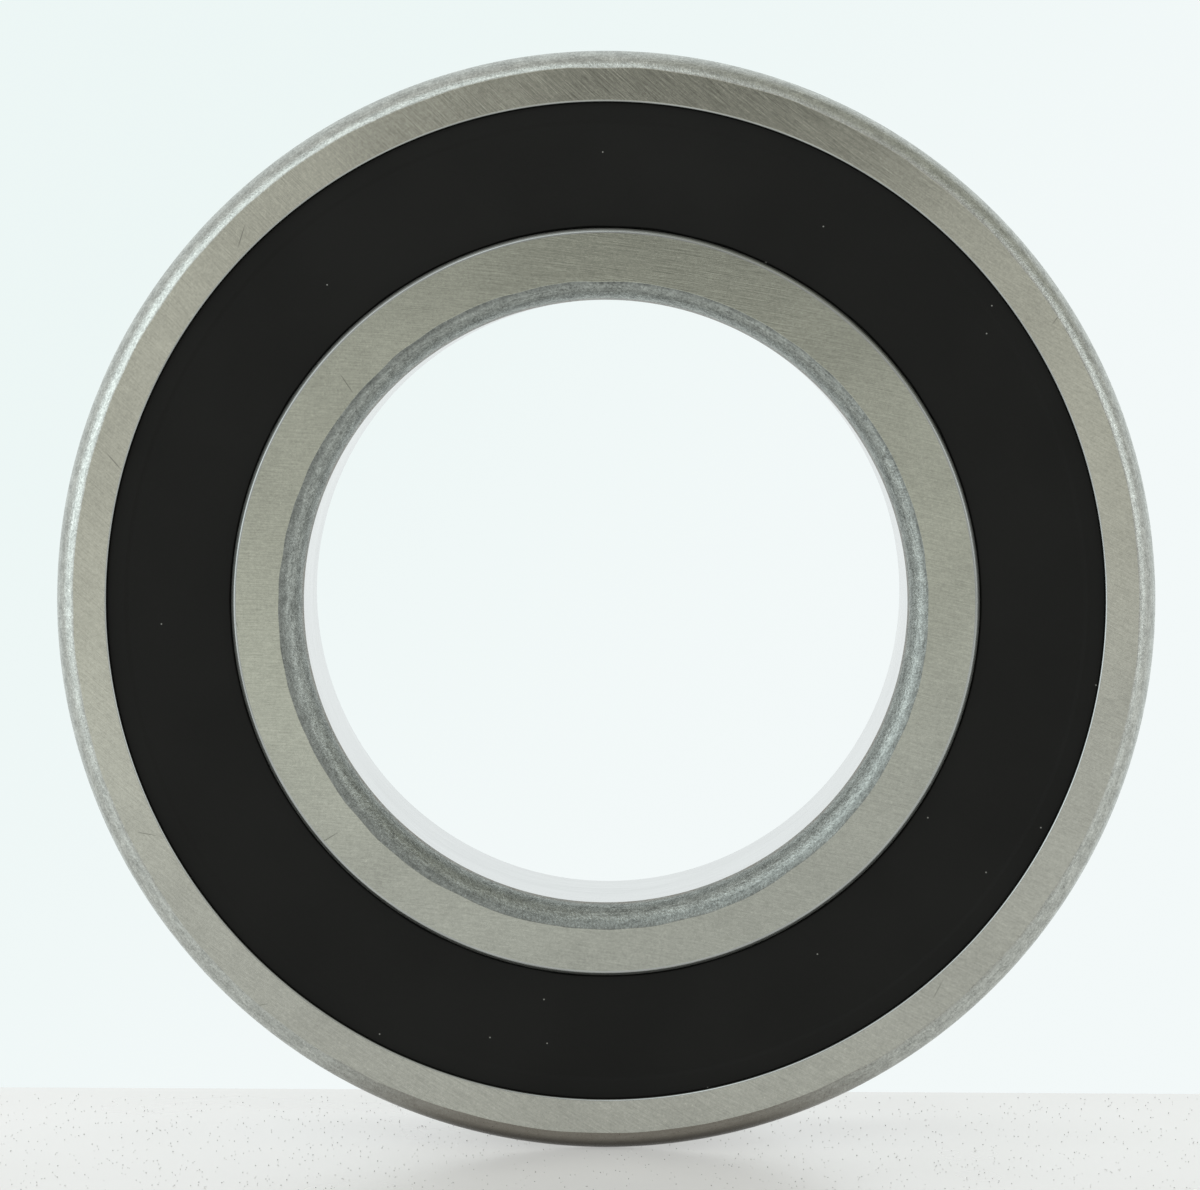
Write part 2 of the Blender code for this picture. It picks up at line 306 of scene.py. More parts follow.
def seal_rubber_run(side):
    """The moulded rubber of one seal; side is -1 for the front seal and 1 for the rear one."""
    lip = LAND_RADIUS + SEAL_SLIP
    lip_top = SEAL_FRONT - 0.10 * MM
    lip_bevel = (0.12 * MM, 0.18 * MM)
    lip_back = SEAL_BACK + 0.15 * MM
    rim = OUTER_FACE[0] - SEAL_SLIP
    bead = SNAP_BEAD_RADIUS
    bead_back = SEAL_BACK + 0.1 * MM
    skin = SEAL_FRONT - 0.08 * MM  # the middle of the skin lies lower than its rim
    skin_back = CORE_FRONT + SEAL_SLIP
    bead_inner = CORE_OUTER_RADIUS + 2 * SEAL_SLIP
    lip_outer = CORE_INNER_RADIUS - 2 * SEAL_SLIP
    outline = [
        (lip + lip_bevel[0], lip_top),
        (lip + 0.85 * MM, skin),
        (rim - 1.90 * MM, skin),
        (rim - 1.55 * MM, SEAL_FRONT),
        (rim, SEAL_FRONT),
        (rim, HALF_WIDTH - SNAP_GROOVE_MOUTH - SNAP_BEAD_SLACK),
        (bead, HALF_WIDTH - SNAP_GROOVE_TOP - SNAP_BEAD_SLACK),
        (bead, bead_back),
        (bead_inner, bead_back),
        (bead_inner, skin_back),
        (lip_outer, skin_back),
        (lip + 0.60 * MM, lip_back),
        (lip + 0.15 * MM, lip_back),
        (lip, lip_top - lip_bevel[1]),
    ]
    middle = tuple((Vector(outline[-1]) + Vector(outline[0])) / 2)
    smooth = rounded([middle] + outline + [middle], RUBBER_ROUND)
    return [("rubber", [(r, side * y) for r, y in smooth])]


def seal_core_run(side):
    """The pressed steel washer inside one seal, with its rim bent towards the balls."""
    bent_in = CORE_OUTER_RADIUS - CORE_THICKNESS
    underside = CORE_FRONT - CORE_THICKNESS
    middle = ((CORE_INNER_RADIUS + CORE_OUTER_RADIUS) / 2, CORE_FRONT)
    outline = [
        middle,
        (CORE_OUTER_RADIUS, CORE_FRONT),
        (CORE_OUTER_RADIUS, CORE_BACK),
        (bent_in, CORE_BACK),
        (bent_in, underside),
        (CORE_INNER_RADIUS, underside),
        (CORE_INNER_RADIUS, CORE_FRONT),
        middle,
    ]
    return [("core", [(r, side * y) for r, y in rounded(outline, CORE_ROUND)])]


# ---------------------------------------------------------------- meshes


def add_object(name, data):
    new = bpy.data.objects.new(name, data)
    bpy.context.scene.collection.objects.link(new)
    return new


def mesh_from(bm, name):
    """A mesh made of what bm holds, which is freed."""
    mesh = bpy.data.meshes.new(name)
    bm.to_mesh(mesh)
    bm.free()
    return mesh


def mesh_object(name, points, faces, materials, material_indices=None):
    mesh = bpy.data.meshes.new(name)
    mesh.from_pydata(points, [], faces)
    for material in materials:
        mesh.materials.append(material)
    if material_indices is not None:
        mesh.polygons.foreach_set("material_index", material_indices)
    bm = bmesh.new()
    bm.from_mesh(mesh)
    bmesh.ops.recalc_face_normals(bm, faces=bm.faces)
    bm.to_mesh(mesh)
    bm.free()
    mesh.shade_smooth()
    mesh.set_sharp_from_angle(angle=SHARP_ANGLE)
    return add_object(name, mesh)


def grid_faces(rows, columns):
    """Faces of a grid that closes on itself both ways; points run along each row."""
    faces = []
    for row in range(rows):
        for column in range(columns):
            corners = ((row, column), (row, column + 1), (row + 1, column + 1), (row + 1, column))
            faces.append(tuple(r % rows * columns + c % columns for r, c in corners))
    return faces


def waver(angles, size, seed):
    """A smooth closed curve of random offsets with this root mean square."""
    random = np.random.default_rng(seed)
    offsets = np.zeros_like(angles)
    for lobes in range(2, WAVER_LOBES):
        offsets += np.cos(lobes * angles + random.uniform(0, 2 * math.pi)) / math.sqrt(lobes)
    return size * offsets / offsets.std()


def turned_piece(name, runs, zone_materials, wander=None):
    """Turn a closed outline about Y. Each run of points takes the material of its zone.

    wander gives how far each point of a circle strays outwards, from its radius, y and angles.
    """
    outline, zones = [], []
    for zone, points in runs:
        fine = held(points)
        outline += fine[:-1]
        zones += [zone] * (len(fine) - 1)
    angles = np.linspace(0, 2 * math.pi, TURNED_SEGMENTS, endpoint=False)
    points = []
    for radius, y in outline:
        reach = radius + (wander(radius, y, angles) if wander else 0.0)
        height = np.full(TURNED_SEGMENTS, y)
        points.append(np.column_stack([reach * np.cos(angles), height, reach * np.sin(angles)]))
    names = sorted(zone_materials)
    materials = [zone_materials[zone] for zone in names]
    indices = np.repeat([names.index(zone) for zone in zones], TURNED_SEGMENTS)
    faces = grid_faces(len(zones), TURNED_SEGMENTS)
    return mesh_object(name, np.concatenate(points).tolist(), faces, materials, indices)


def spun_solid(name, outline, centre, material):
    """Turn an outline that starts and ends on the axis about a line along Y through centre."""
    angles = np.linspace(0, 2 * math.pi, RIVET_SEGMENTS, endpoint=False)
    points = [centre + Vector((0, outline[0][1], 0)), centre + Vector((0, outline[-1][1], 0))]
    for radius, y in outline[1:-1]:
        points += [centre + Vector((radius * math.cos(a), y, radius * math.sin(a))) for a in angles]
    count, rows = RIVET_SEGMENTS, len(outline) - 2
    faces = []
    for column in range(count):
        after = (column + 1) % count
        faces.append((0, 2 + column, 2 + after))
        faces.append((1, 2 + (rows - 1) * count + after, 2 + (rows - 1) * count + column))
        for row in range(rows - 1):
            here = 2 + row * count
            below = here + count
            faces.append((here + column, below + column, below + after, here + after))
    return mesh_object(name, points, faces, [material])


def finish_piece(piece, node, body):
    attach(piece, body)
    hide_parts(node)


# ---------------------------------------------------------------- node helpers


def add_node(tree, kind, inputs=None, **settings):
    """Add a node; an input is linked when it is given a socket, and set otherwise."""
    new = tree.nodes.new(kind)
    for key, value in settings.items():
        setattr(new, key, value)
    for key, value in (inputs or {}).items():
        if isinstance(value, bpy.types.NodeSocket):
            tree.links.new(value, new.inputs[key])
        else:
            new.inputs[key].default_value = value
    return new


def maths(tree, operation, first, second=0.0, third=0.0):
    inputs = {0: first, 1: second, 2: third}
    return add_node(tree, "ShaderNodeMath", inputs, operation=operation).outputs[0]


def remap(tree, value, low, high, to_low=0.0, to_high=1.0, kind="SMOOTHSTEP"):
    inputs = {"Value": value, "From Min": low, "From Max": high, "To Min": to_low, "To Max": to_high}
    return add_node(tree, "ShaderNodeMapRange", inputs, interpolation_type=kind).outputs[0]


def mix(tree, factor, first, second, blend="MIX"):
    node = add_node(
        tree, "ShaderNodeMix", {"Factor": factor, 6: first, 7: second},
        data_type="RGBA", blend_type=blend,
    )
    return node.outputs[2]


def stretched(tree, point, scale, turn=(0, 0, 0)):
    """Coordinates in units of a pattern's own size along each axis, in metres."""
    inputs = {"Vector": point, "Rotation": turn, "Scale": tuple(1 / size for size in scale)}
    return add_node(tree, "ShaderNodeMapping", inputs, vector_type="POINT").outputs[0]


def noise(tree, vector, detail=2.0, roughness=0.5):
    inputs = {"Vector": vector, "Scale": 1.0, "Detail": detail, "Roughness": roughness}
    return add_node(tree, "ShaderNodeTexNoise", inputs).outputs["Fac"]


def new_material(name, metallic=0.0):
    """A material with its tree, its Principled shader and its object coordinates."""
    material = bpy.data.materials.new(name)
    material.use_nodes = True
    tree = material.node_tree
    shader = tree.nodes["Principled BSDF"]
    shader.inputs["Metallic"].default_value = metallic
    point = add_node(tree, "ShaderNodeTexCoord").outputs["Object"]
    return material, tree, shader, point


def surface(tree, shader, colour, roughness, relief=None, depth=0.0, strength=0.5):
    """Link a shader's colour and roughness, and a relief of this depth where there is one."""
    tree.links.new(colour, shader.inputs["Base Color"])
    tree.links.new(roughness, shader.inputs["Roughness"])
    if relief is not None:
        inputs = {"Height": relief, "Distance": depth, "Strength": strength}
        bump = add_node(tree, "ShaderNodeBump", inputs)
        tree.links.new(bump.outputs[0], shader.inputs["Normal"])


def radius_from_axis(tree, point):
    flat = add_node(
        tree, "ShaderNodeVectorMath", {0: point, 1: (1, 0, 1)}, operation="MULTIPLY"
    ).outputs[0]
    return add_node(tree, "ShaderNodeVectorMath", {0: flat}, operation="LENGTH").outputs["Value"]


def ring_streaks(tree, point, along, across, detail=3.0):
    """Noise drawn out round the axis, as turning, honing and tumbling leave it."""
    vector = stretched(tree, point, (along, across, along))
    inputs = {
        "Vector": vector, "W": maths(tree, "DIVIDE", radius_from_axis(tree, point), across),
        "Scale": 1.0, "Detail": detail, "Roughness": 0.6,
    }
    return add_node(tree, "ShaderNodeTexNoise", inputs, noise_dimensions="4D").outputs["Fac"]


def blended(tree, *parts):
    """Weighted sum of (pattern, weight) pairs."""
    total = 0.0
    for pattern, weight in parts:
        total = maths(tree, "MULTIPLY_ADD", pattern, weight, total)
    return total


def tinted(colour, share):
    """A colour made lighter or darker, as a node's RGBA value."""
    return tuple(min(1, channel * share) for channel in colour) + (1,)


def wheel_lines(tree, point, wheel_centre, pitch, length):
    """Noise drawn out along arcs about a far point, as a grinding wheel leaves it."""
    offset = add_node(
        tree, "ShaderNodeVectorMath", {0: point, 1: wheel_centre}, operation="SUBTRACT"
    ).outputs[0]
    parts = add_node(tree, "ShaderNodeSeparateXYZ", {0: offset})
    x, z = parts.outputs["X"], parts.outputs["Z"]
    squares = maths(tree, "ADD", maths(tree, "MULTIPLY", x, x), maths(tree, "MULTIPLY", z, z))
    distance = maths(tree, "SQRT", squares)
    angle = maths(tree, "ARCTAN2", z, x)
    reach = Vector(wheel_centre).length
    across = maths(tree, "MULTIPLY", distance, 1 / pitch)
    along = maths(tree, "MULTIPLY", angle, reach / length)
    vector = add_node(tree, "ShaderNodeCombineXYZ", {"X": across, "Y": along}).outputs[0]
    return noise(tree, vector, detail=3.0, roughness=0.65)


def cells_across(tree, point, size):
    """Cells on the plane square to the axis: (offset from the cell's point, distance, random)."""
    parts = add_node(tree, "ShaderNodeSeparateXYZ", {0: point})
    inputs = {"X": parts.outputs["X"], "Y": parts.outputs["Z"]}
    flat = add_node(tree, "ShaderNodeCombineXYZ", inputs).outputs[0]
    cells = add_node(
        tree, "ShaderNodeTexVoronoi", {"Vector": flat, "Scale": 1 / size}, voronoi_dimensions="2D"
    )
    inputs = {0: flat, 1: cells.outputs["Position"]}
    offset = add_node(tree, "ShaderNodeVectorMath", inputs, operation="SUBTRACT").outputs[0]
    random = add_node(tree, "ShaderNodeSeparateColor", {0: cells.outputs["Color"]})
    return offset, cells.outputs["Distance"], random


def scratches(tree, point):
    """A few short handling scratches, each at a random place and angle."""
    offset, _, random = cells_across(tree, point, 7 * MM)
    turn = maths(tree, "MULTIPLY", random.outputs[0], 2 * math.pi)
    inputs = {"Vector": offset, "Angle": turn}
    lined_up = add_node(tree, "ShaderNodeVectorRotate", inputs, rotation_type="Z_AXIS").outputs[0]
    parts = add_node(tree, "ShaderNodeSeparateXYZ", {0: lined_up})
    along = maths(tree, "ABSOLUTE", parts.outputs["X"])
    across = maths(tree, "ABSOLUTE", parts.outputs["Y"])
    narrow = remap(tree, across, 0.05 * MM, 0.02 * MM)
    short = remap(tree, along, 1.3 * MM, 0.3 * MM)
    chosen = maths(tree, "GREATER_THAN", random.outputs[1], 0.72)
    return maths(tree, "MULTIPLY", maths(tree, "MULTIPLY", narrow, short), chosen)


# ---------------------------------------------------------------- materials


NOISE_SPAN = (0.3, 0.7)  # nearly all values of one noise lie in here
BLEND_SPAN = (0.36, 0.64)  # and those of several blended ones in here
PAINTED_SHADE_STEEL = (0.355, 0.362, 0.345)  # painted shade: the darker colour of a side face's lower part
PAINTED_SHADE_FULL_HEIGHT = -0.7 * OUTSIDE_RADIUS  # the painted shade starts at the axis and is full down here
PAINTED_SHADE_SLANT = 0.35  # how far the painted shade's start rises towards +X, per distance from the axis
# painted contact shade: near black beside the rim, where the corner meets the table
PAINTED_CONTACT_SHADE = (0.05, 0.044, 0.036, 1)
# Painted shade on the lowest stretch of a corner that stands on the table, and darker painted
# contact shade beside its rim, grow between these heights.
LOW_SHADE_HEIGHTS = (-0.80 * OUTSIDE_RADIUS, -0.97 * OUTSIDE_RADIUS)
CONTACT_SHADE_HEIGHTS = (-0.90 * OUTSIDE_RADIUS, -0.98 * OUTSIDE_RADIUS)
CONTACT_SHADE_RADII = (OUTSIDE_RADIUS - 1.2 * MM, OUTSIDE_RADIUS - 0.3 * MM)
LOW_SHADE_SHARE = 0.85


def ground_face(name, colour, wheel_centre, shaded_below):
    """Side face ground by a wheel: fine strokes along wide arcs, grit marks, soft tone changes.

    The lower part, and more so on the +X side, is darkened with painted shade; the last argument
    says how much.
    """
    material, tree, shader, point = new_material(name, metallic=1.0)
    strokes = wheel_lines(tree, point, wheel_centre, 0.15 * MM, 1.7 * MM)
    hairs = wheel_lines(tree, point, wheel_centre, 0.11 * MM, 5 * MM)
    grit = noise(tree, stretched(tree, point, (0.20 * MM,) * 3), detail=3.0, roughness=0.7)
    cloud = noise(tree, stretched(tree, point, (9 * MM,) * 3))
    pattern = blended(tree, (strokes, 0.31), (hairs, 0.15), (grit, 0.37), (cloud, 0.17))
    grain = remap(tree, pattern, *BLEND_SPAN, kind="LINEAR")
    bare, shaded_steel = (
        mix(tree, grain, tinted(steel, 0.77), tinted(steel, 1.23))
        for steel in (colour, PAINTED_SHADE_STEEL)
    )
    # painted shade: the lower part of the face, more so towards +X, is blended towards darker steel
    place = add_node(tree, "ShaderNodeSeparateXYZ", {0: point}).outputs
    aside = maths(tree, "MULTIPLY", maths(tree, "MAXIMUM", place["X"], 0.0), PAINTED_SHADE_SLANT)
    level = maths(tree, "SUBTRACT", place["Z"], aside)
    shade_mask = remap(tree, level, 0.0, PAINTED_SHADE_FULL_HEIGHT, 0.0, shaded_below)
    shade = mix(tree, shade_mask, bare, shaded_steel)
    shade = mix(tree, scratches(tree, point), shade, tinted(colour, 0.45))
    marks = remap(tree, grit, 0.68, 0.76, 0.0, 0.5)
    shade = mix(tree, marks, shade, tinted(colour, 1.5))
    roughness = remap(tree, hairs, *NOISE_SPAN, 0.10, 0.16, "LINEAR")
    surface(tree, shader, shade, roughness, hairs, 0.006 * MM, 0.6)
    return material


def turned_corner(name, colour, contrast, pit_depth, stain_and_shade, stained, dulled=None, contact_shaded=False):
    """Turned and tumbled corner: streaks round the axis, dull mottling, a stained margin.

    The stained margin grows between the two radii of stained, and a dull band between those of
    dulled. A corner that stands on the table also gets painted shade along its lowest stretch,
    tinted brown, and darker painted contact shade beside the rim.
    """
    material, tree, shader, point = new_material(name, metallic=1.0)
    turning = ring_streaks(tree, point, 3 * MM, 0.14 * MM)
    patches = ring_streaks(tree, point, 0.9 * MM, 0.5 * MM)
    pits = noise(tree, stretched(tree, point, (0.20 * MM,) * 3), detail=3.0, roughness=0.7)
    pattern = blended(tree, (turning, 0.22), (patches, 0.33), (pits, 0.45))
    shade = mix(
        tree, remap(tree, pattern, 0.37, 0.63, kind="LINEAR"),
        tinted(colour, 1 - contrast), tinted(colour, 1 + 0.85 * contrast),
    )
    sparks = remap(tree, pits, 0.62, 0.72, 0.0, contrast)
    shade = mix(tree, sparks, shade, tinted(colour, 1.7))
    radius = radius_from_axis(tree, point)
    uneven = remap(tree, patches, 0.35, 0.65, 0.25, 0.85)
    shade = mix(tree, maths(tree, "MULTIPLY", remap(tree, radius, *stained), uneven), shade, stain_and_shade)
    if dulled:
        shade = mix(tree, remap(tree, radius, *dulled, 0.0, 0.42), shade, tinted(colour, 0.2))
    # painted shade where the corner stands on the table: its lowest stretch darkened and browned,
    # darkest beside the rim
    if contact_shaded:
        height = add_node(tree, "ShaderNodeSeparateXYZ", {0: point}).outputs["Z"]
        low = remap(tree, height, *LOW_SHADE_HEIGHTS, 0.0, LOW_SHADE_SHARE)
        shade = mix(tree, low, shade, stain_and_shade)
        lowest = remap(tree, height, *CONTACT_SHADE_HEIGHTS, 0.0, LOW_SHADE_SHARE)
        outside = remap(tree, radius, *CONTACT_SHADE_RADII)
        shade = mix(tree, maths(tree, "MULTIPLY", lowest, outside), shade, PAINTED_CONTACT_SHADE)
    roughness = remap(tree, pits, *NOISE_SPAN, 0.30, 0.19, "LINEAR")
    surface(tree, shader, shade, roughness, pits, pit_depth, 0.6)
    return material


def honed_steel(name, colour, roughness):
    """Bore, rim, edges and seats: fine lines round the axis on bright steel."""
    material, tree, shader, point = new_material(name, metallic=1.0)
    hone = ring_streaks(tree, point, 6 * MM, 0.10 * MM)
    cloud = ring_streaks(tree, point, 14 * MM, 5 * MM)
    pattern = blended(tree, (hone, 0.68), (cloud, 0.32))
    level = remap(tree, pattern, *BLEND_SPAN, kind="LINEAR")
    shade = mix(tree, level, tinted(colour, 0.86), tinted(colour, 1.12))
    low, high = roughness
    gloss = remap(tree, pattern, *BLEND_SPAN, high, low, "LINEAR")
    surface(tree, shader, shade, gloss, hone, 0.003 * MM)
    return material


def nitrile_rubber(name):
    """Black moulded rubber: nearly even, with a fine moulded grain and a few specks of dust."""
    material, tree, shader, point = new_material(name)
    grain = noise(tree, stretched(tree, point, (0.12 * MM,) * 3), detail=3.0, roughness=0.6)
    cloud = noise(tree, stretched(tree, point, (12 * MM,) * 3))
    tone = remap(tree, blended(tree, (grain, 0.5), (cloud, 0.5)), 0.35, 0.65)
    rubber = mix(tree, tone, (0.0098, 0.0098, 0.0090, 1), (0.0130, 0.0130, 0.0120, 1))
    _, distance, random = cells_across(tree, point, 5 * MM)
    near = remap(tree, distance, 0.018, 0.006)
    dust = maths(tree, "MULTIPLY", near, maths(tree, "GREATER_THAN", random.outputs[0], 0.86))
    shade = mix(tree, dust, rubber, (0.30, 0.30, 0.28, 1))
    roughness = remap(tree, grain, *NOISE_SPAN, 0.58, 0.70, "LINEAR")
    surface(tree, shader, shade, roughness, grain, 0.004 * MM)
    shader.inputs["Specular IOR Level"].default_value = 0.12
    return material


def lapped_ball(name):
    """Mirror-lapped ball: clean chrome steel with hair-fine wear marks."""
    material, tree, shader, point = new_material(name, metallic=1.0)
    drawn_out = stretched(tree, point, (3 * MM, 0.2 * MM, 3 * MM), (0.4, 0.7, 0.2))
    wear = noise(tree, drawn_out, detail=3.0)
    cloud = remap(tree, noise(tree, stretched(tree, point, (4 * MM,) * 3)), *NOISE_SPAN)
    shade = mix(tree, cloud, (0.60, 0.61, 0.62, 1), (0.66, 0.67, 0.68, 1))
    surface(tree, shader, shade, remap(tree, wear, 0.45, 0.75, 0.05, 0.14))
    return material


def pressed_steel(name, colour, roll_turn=0.0):
    """Cold-rolled strip, pressed to shape: faint rolling grain and satin gloss."""
    material, tree, shader, point = new_material(name, metallic=1.0)
    rolled = stretched(tree, point, (0.15 * MM, 4 * MM, 2.5 * MM), (0, roll_turn, 0))
    grain = noise(tree, rolled, detail=3.0, roughness=0.6)
    cloud = noise(tree, stretched(tree, point, (3 * MM,) * 3), detail=3.0)
    tone = remap(tree, blended(tree, (grain, 0.5), (cloud, 0.5)), *NOISE_SPAN)
    shade = mix(tree, tone, tinted(colour, 0.82), tinted(colour, 1.15))
    roughness = remap(tree, grain, *NOISE_SPAN, 0.32, 0.46, "LINEAR")
    surface(tree, shader, shade, roughness, grain, 0.003 * MM)
    return material


# ---------------------------------------------------------------- rings and seals


def edge_share(radius, y, start, edge, end):
    """How far a point follows a corner's edge: fully at the edge, not at all at start and end."""
    along_corner = (radius - start) / (edge - start)
    if along_corner <= 1:
        return max(along_corner, 0.0)
    if abs(y) < HALF_WIDTH - FLATNESS:
        return 0.0
    return max((end - radius) / (end - edge), 0.0)


def outer_ring_waver(radius, y, angles):
    """The outer corner's edge on each side face strays a little, and the face gives way to it."""
    reach = edge_share(radius, y, OUTSIDE_RADIUS, OUTER_FACE[1], OUTER_FACE[0])
    return reach * waver(angles, EDGE_WAVER, seed=1 if y < 0 else 2)


def inner_ring_waver(radius, y, angles):
    """The bore corner runs out from the bore's axis and its edge strays a little."""
    reach = edge_share(radius, y, BORE_RADIUS, INNER_FACE[0], INNER_FACE[1])
    runout = BORE_CORNER_RUNOUT.x * np.cos(angles) + BORE_CORNER_RUNOUT.z * np.sin(angles)
    return reach * (runout + waver(angles, EDGE_WAVER, seed=3 if y < 0 else 4))


def add_rings():
    honed = honed_steel("honed_steel", (0.66, 0.67, 0.67), (0.10, 0.16))
    raceway = honed_steel("honed_raceway_steel", (0.60, 0.61, 0.61), (0.06, 0.12))
    seat = honed_steel("turned_seat_steel", (0.24, 0.25, 0.235), (0.28, 0.38))
    edge = honed_steel("broken_edge_steel", (0.45, 0.47, 0.46), (0.14, 0.24))

    runs = outer_ring_runs()
    rim_edge = runs[0][1][0]
    rim = ("rim", [(rim_edge[0], -rim_edge[1]), rim_edge])
    # The outer corner gets painted shade along its lowest stretch, where it stands on the table.
    corner = turned_corner(
        "outer_corner_steel", (0.54, 0.56, 0.53), contrast=0.40, pit_depth=0.05 * MM,
        stain_and_shade=(0.21, 0.185, 0.155, 1), contact_shaded=True,
        stained=(OUTER_FACE[1] + 0.35 * MM, OUTER_FACE[1] - 0.3 * MM),
    )
    # The outer side face gets painted shade on its lower part.
    outer = turned_piece("fine_outer_ring", runs + mirrored_runs(runs) + [rim], {
        "face": ground_face(
            "outer_face_steel", (0.59, 0.60, 0.52), wheel_centre=(0.16, 0, 0.23), shaded_below=0.55
        ),
        "corner": corner, "edge": edge, "seat": seat, "raceway": raceway, "rim": honed,
    }, outer_ring_waver)
    finish_piece(outer, "outer_ring", "outer_ring")

    runs = inner_ring_runs()
    bore_edge = runs[0][1][0]
    bore = ("bore", [(bore_edge[0], -bore_edge[1]), bore_edge])
    corner = turned_corner(
        "bore_corner_steel", (0.37, 0.395, 0.375), contrast=0.55, pit_depth=0.10 * MM,
        stain_and_shade=(0.20, 0.165, 0.13, 1), stained=(BORE_RADIUS + 0.25 * MM, BORE_RADIUS),
        dulled=(INNER_FACE[0] - 0.8 * MM, INNER_FACE[0] - 0.3 * MM),
    )
    # The inner side face gets painted shade on its lower part.
    inner = turned_piece("fine_inner_ring", runs + mirrored_runs(runs) + [bore], {
        "face": ground_face(
            "inner_face_steel", (0.52, 0.542, 0.463), wheel_centre=(-0.04, 0, -0.28), shaded_below=0.55
        ),
        "corner": corner, "edge": edge, "seat": seat, "raceway": raceway, "bore": honed,
    }, inner_ring_waver)
    finish_piece(inner, "inner_ring", "inner_ring")


def lip_waver(radius, y, angles):
    """The rubber lip's moulded edge strays outwards, never towards the land it runs beside."""
    if radius > LAND_RADIUS + LIP_WIDTH:
        return 0.0
    return np.abs(waver(angles, LIP_WAVER, seed=5 if y < 0 else 6))


def add_seals():
    rubber = nitrile_rubber("nitrile_rubber")
    core = pressed_steel("pressed_washer_steel", (0.50, 0.50, 0.49))
    for side_name, side in (("front", -1), ("rear", 1)):
        skin = turned_piece(
            f"moulded_seal_{side_name}", seal_rubber_run(side), {"rubber": rubber}, lip_waver
        )
        finish_piece(skin, f"seal_{side_name}_rubber", "outer_ring")
        washer = turned_piece(f"seal_washer_{side_name}", seal_core_run(side), {"core": core})
        finish_piece(washer, f"seal_{side_name}_core", "outer_ring")


# ---------------------------------------------------------------- balls, cage and rivets


def node_centre(node):
    low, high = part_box(node)
    return (low + high) / 2


def add_balls():
    steel = lapped_ball("lapped_ball_steel")
    for node in BALLS:
        bm = bmesh.new()
        bmesh.ops.create_cube(bm, size=2)
        bmesh.ops.subdivide_edges(bm, edges=bm.edges[:], cuts=BALL_CUTS, use_grid_fill=True)
        centre = node_centre(node)
        for vertex in bm.verts:
            spread = Vector([math.tan(math.pi / 4 * part) for part in vertex.co])
            vertex.co = centre + spread.normalized() * BALL_RADIUS
        mesh = mesh_from(bm, f"lapped_{node}")
        mesh.shade_smooth()
        mesh.materials.append(steel)
        finish_piece(add_object(f"lapped_{node}", mesh), node, node)


def cage_path(radius):
    """Half of a pocket's section on the cylinder of this radius: (distance, height, normal).

    It runs along the middle of the strip's thickness, from the pocket's pole down the ball cup,
    round the bend and along the flat land to halfway between two balls. Distances are straight
    lines from the pole's radius line, and heights lie along Y.
    """
    cup = math.sqrt((CAGE_TOP - CAGE_THICKNESS / 2) ** 2 - (radius - PITCH_RADIUS) ** 2)
    land = CAGE_LAND_BACK + CAGE_THICKNESS / 2
    bend = CAGE_BEND_RADIUS
    bend_distance = math.sqrt((cup + bend) ** 2 - (land + bend) ** 2)
    leave = math.atan2(bend_distance, land + bend)
    path = []
    for share in np.linspace(0, 1, CUP_STEPS + 1):
        normal = (math.sin(leave * share), math.cos(leave * share))
        path.append((cup * normal[0], cup * normal[1], normal))
    for share in np.linspace(1, 0, BEND_STEPS + 1)[1:]:
        normal = (math.sin(leave * share), math.cos(leave * share))
        path.append((bend_distance - bend * normal[0], land + bend - bend * normal[1], normal))
    halfway = 2 * math.sqrt(radius * PITCH_RADIUS) * math.sin(math.pi / len(BALLS) / 2)
    for share in (0.5, 1.0):
        path.append((bend_distance + (halfway - bend_distance) * share, land, (0.0, 1.0)))
    return path


def cage_half(name, side, material):
    """One pressed cage half, its cups towards +Y for side 1 and -Y for side -1."""
    inner, outer = CAGE_INNER_RADIUS, CAGE_OUTER_RADIUS
    across = np.linspace(inner + CAGE_EDGE_ROUND, outer - CAGE_EDGE_ROUND, CAGE_COLUMNS)
    radii = [inner, *across, outer]
    thickness = [CAGE_THICKNESS - 2 * CAGE_EDGE_ROUND, *[CAGE_THICKNESS] * CAGE_COLUMNS]
    thickness.append(thickness[0])
    paths = [cage_path(radius) for radius in radii]
    last = len(paths[0]) - 1
    points = []
    for node in BALLS:
        centre = node_centre(node)
        ball_angle = math.atan2(centre.z, centre.x)
        for index in range(-last, last):
            turn = math.copysign(1, index)
            ring = []
            for surface in (-0.5, 0.5):
                band = []
                for radius, depth, path in zip(radii, thickness, paths):
                    distance, height, normal = path[abs(index)]
                    distance += surface * depth * normal[0]
                    chord = distance / (2 * math.sqrt(radius * PITCH_RADIUS))
                    angle = ball_angle - turn * 2 * math.asin(chord)
                    y = side * (height + surface * depth * normal[1])
                    band.append((radius * math.cos(angle), y, radius * math.sin(angle)))
                ring += band if surface < 0 else band[::-1]
            points += ring
    size = 2 * len(radii)
    return mesh_object(name, points, grid_faces(len(points) // size, size), [material])


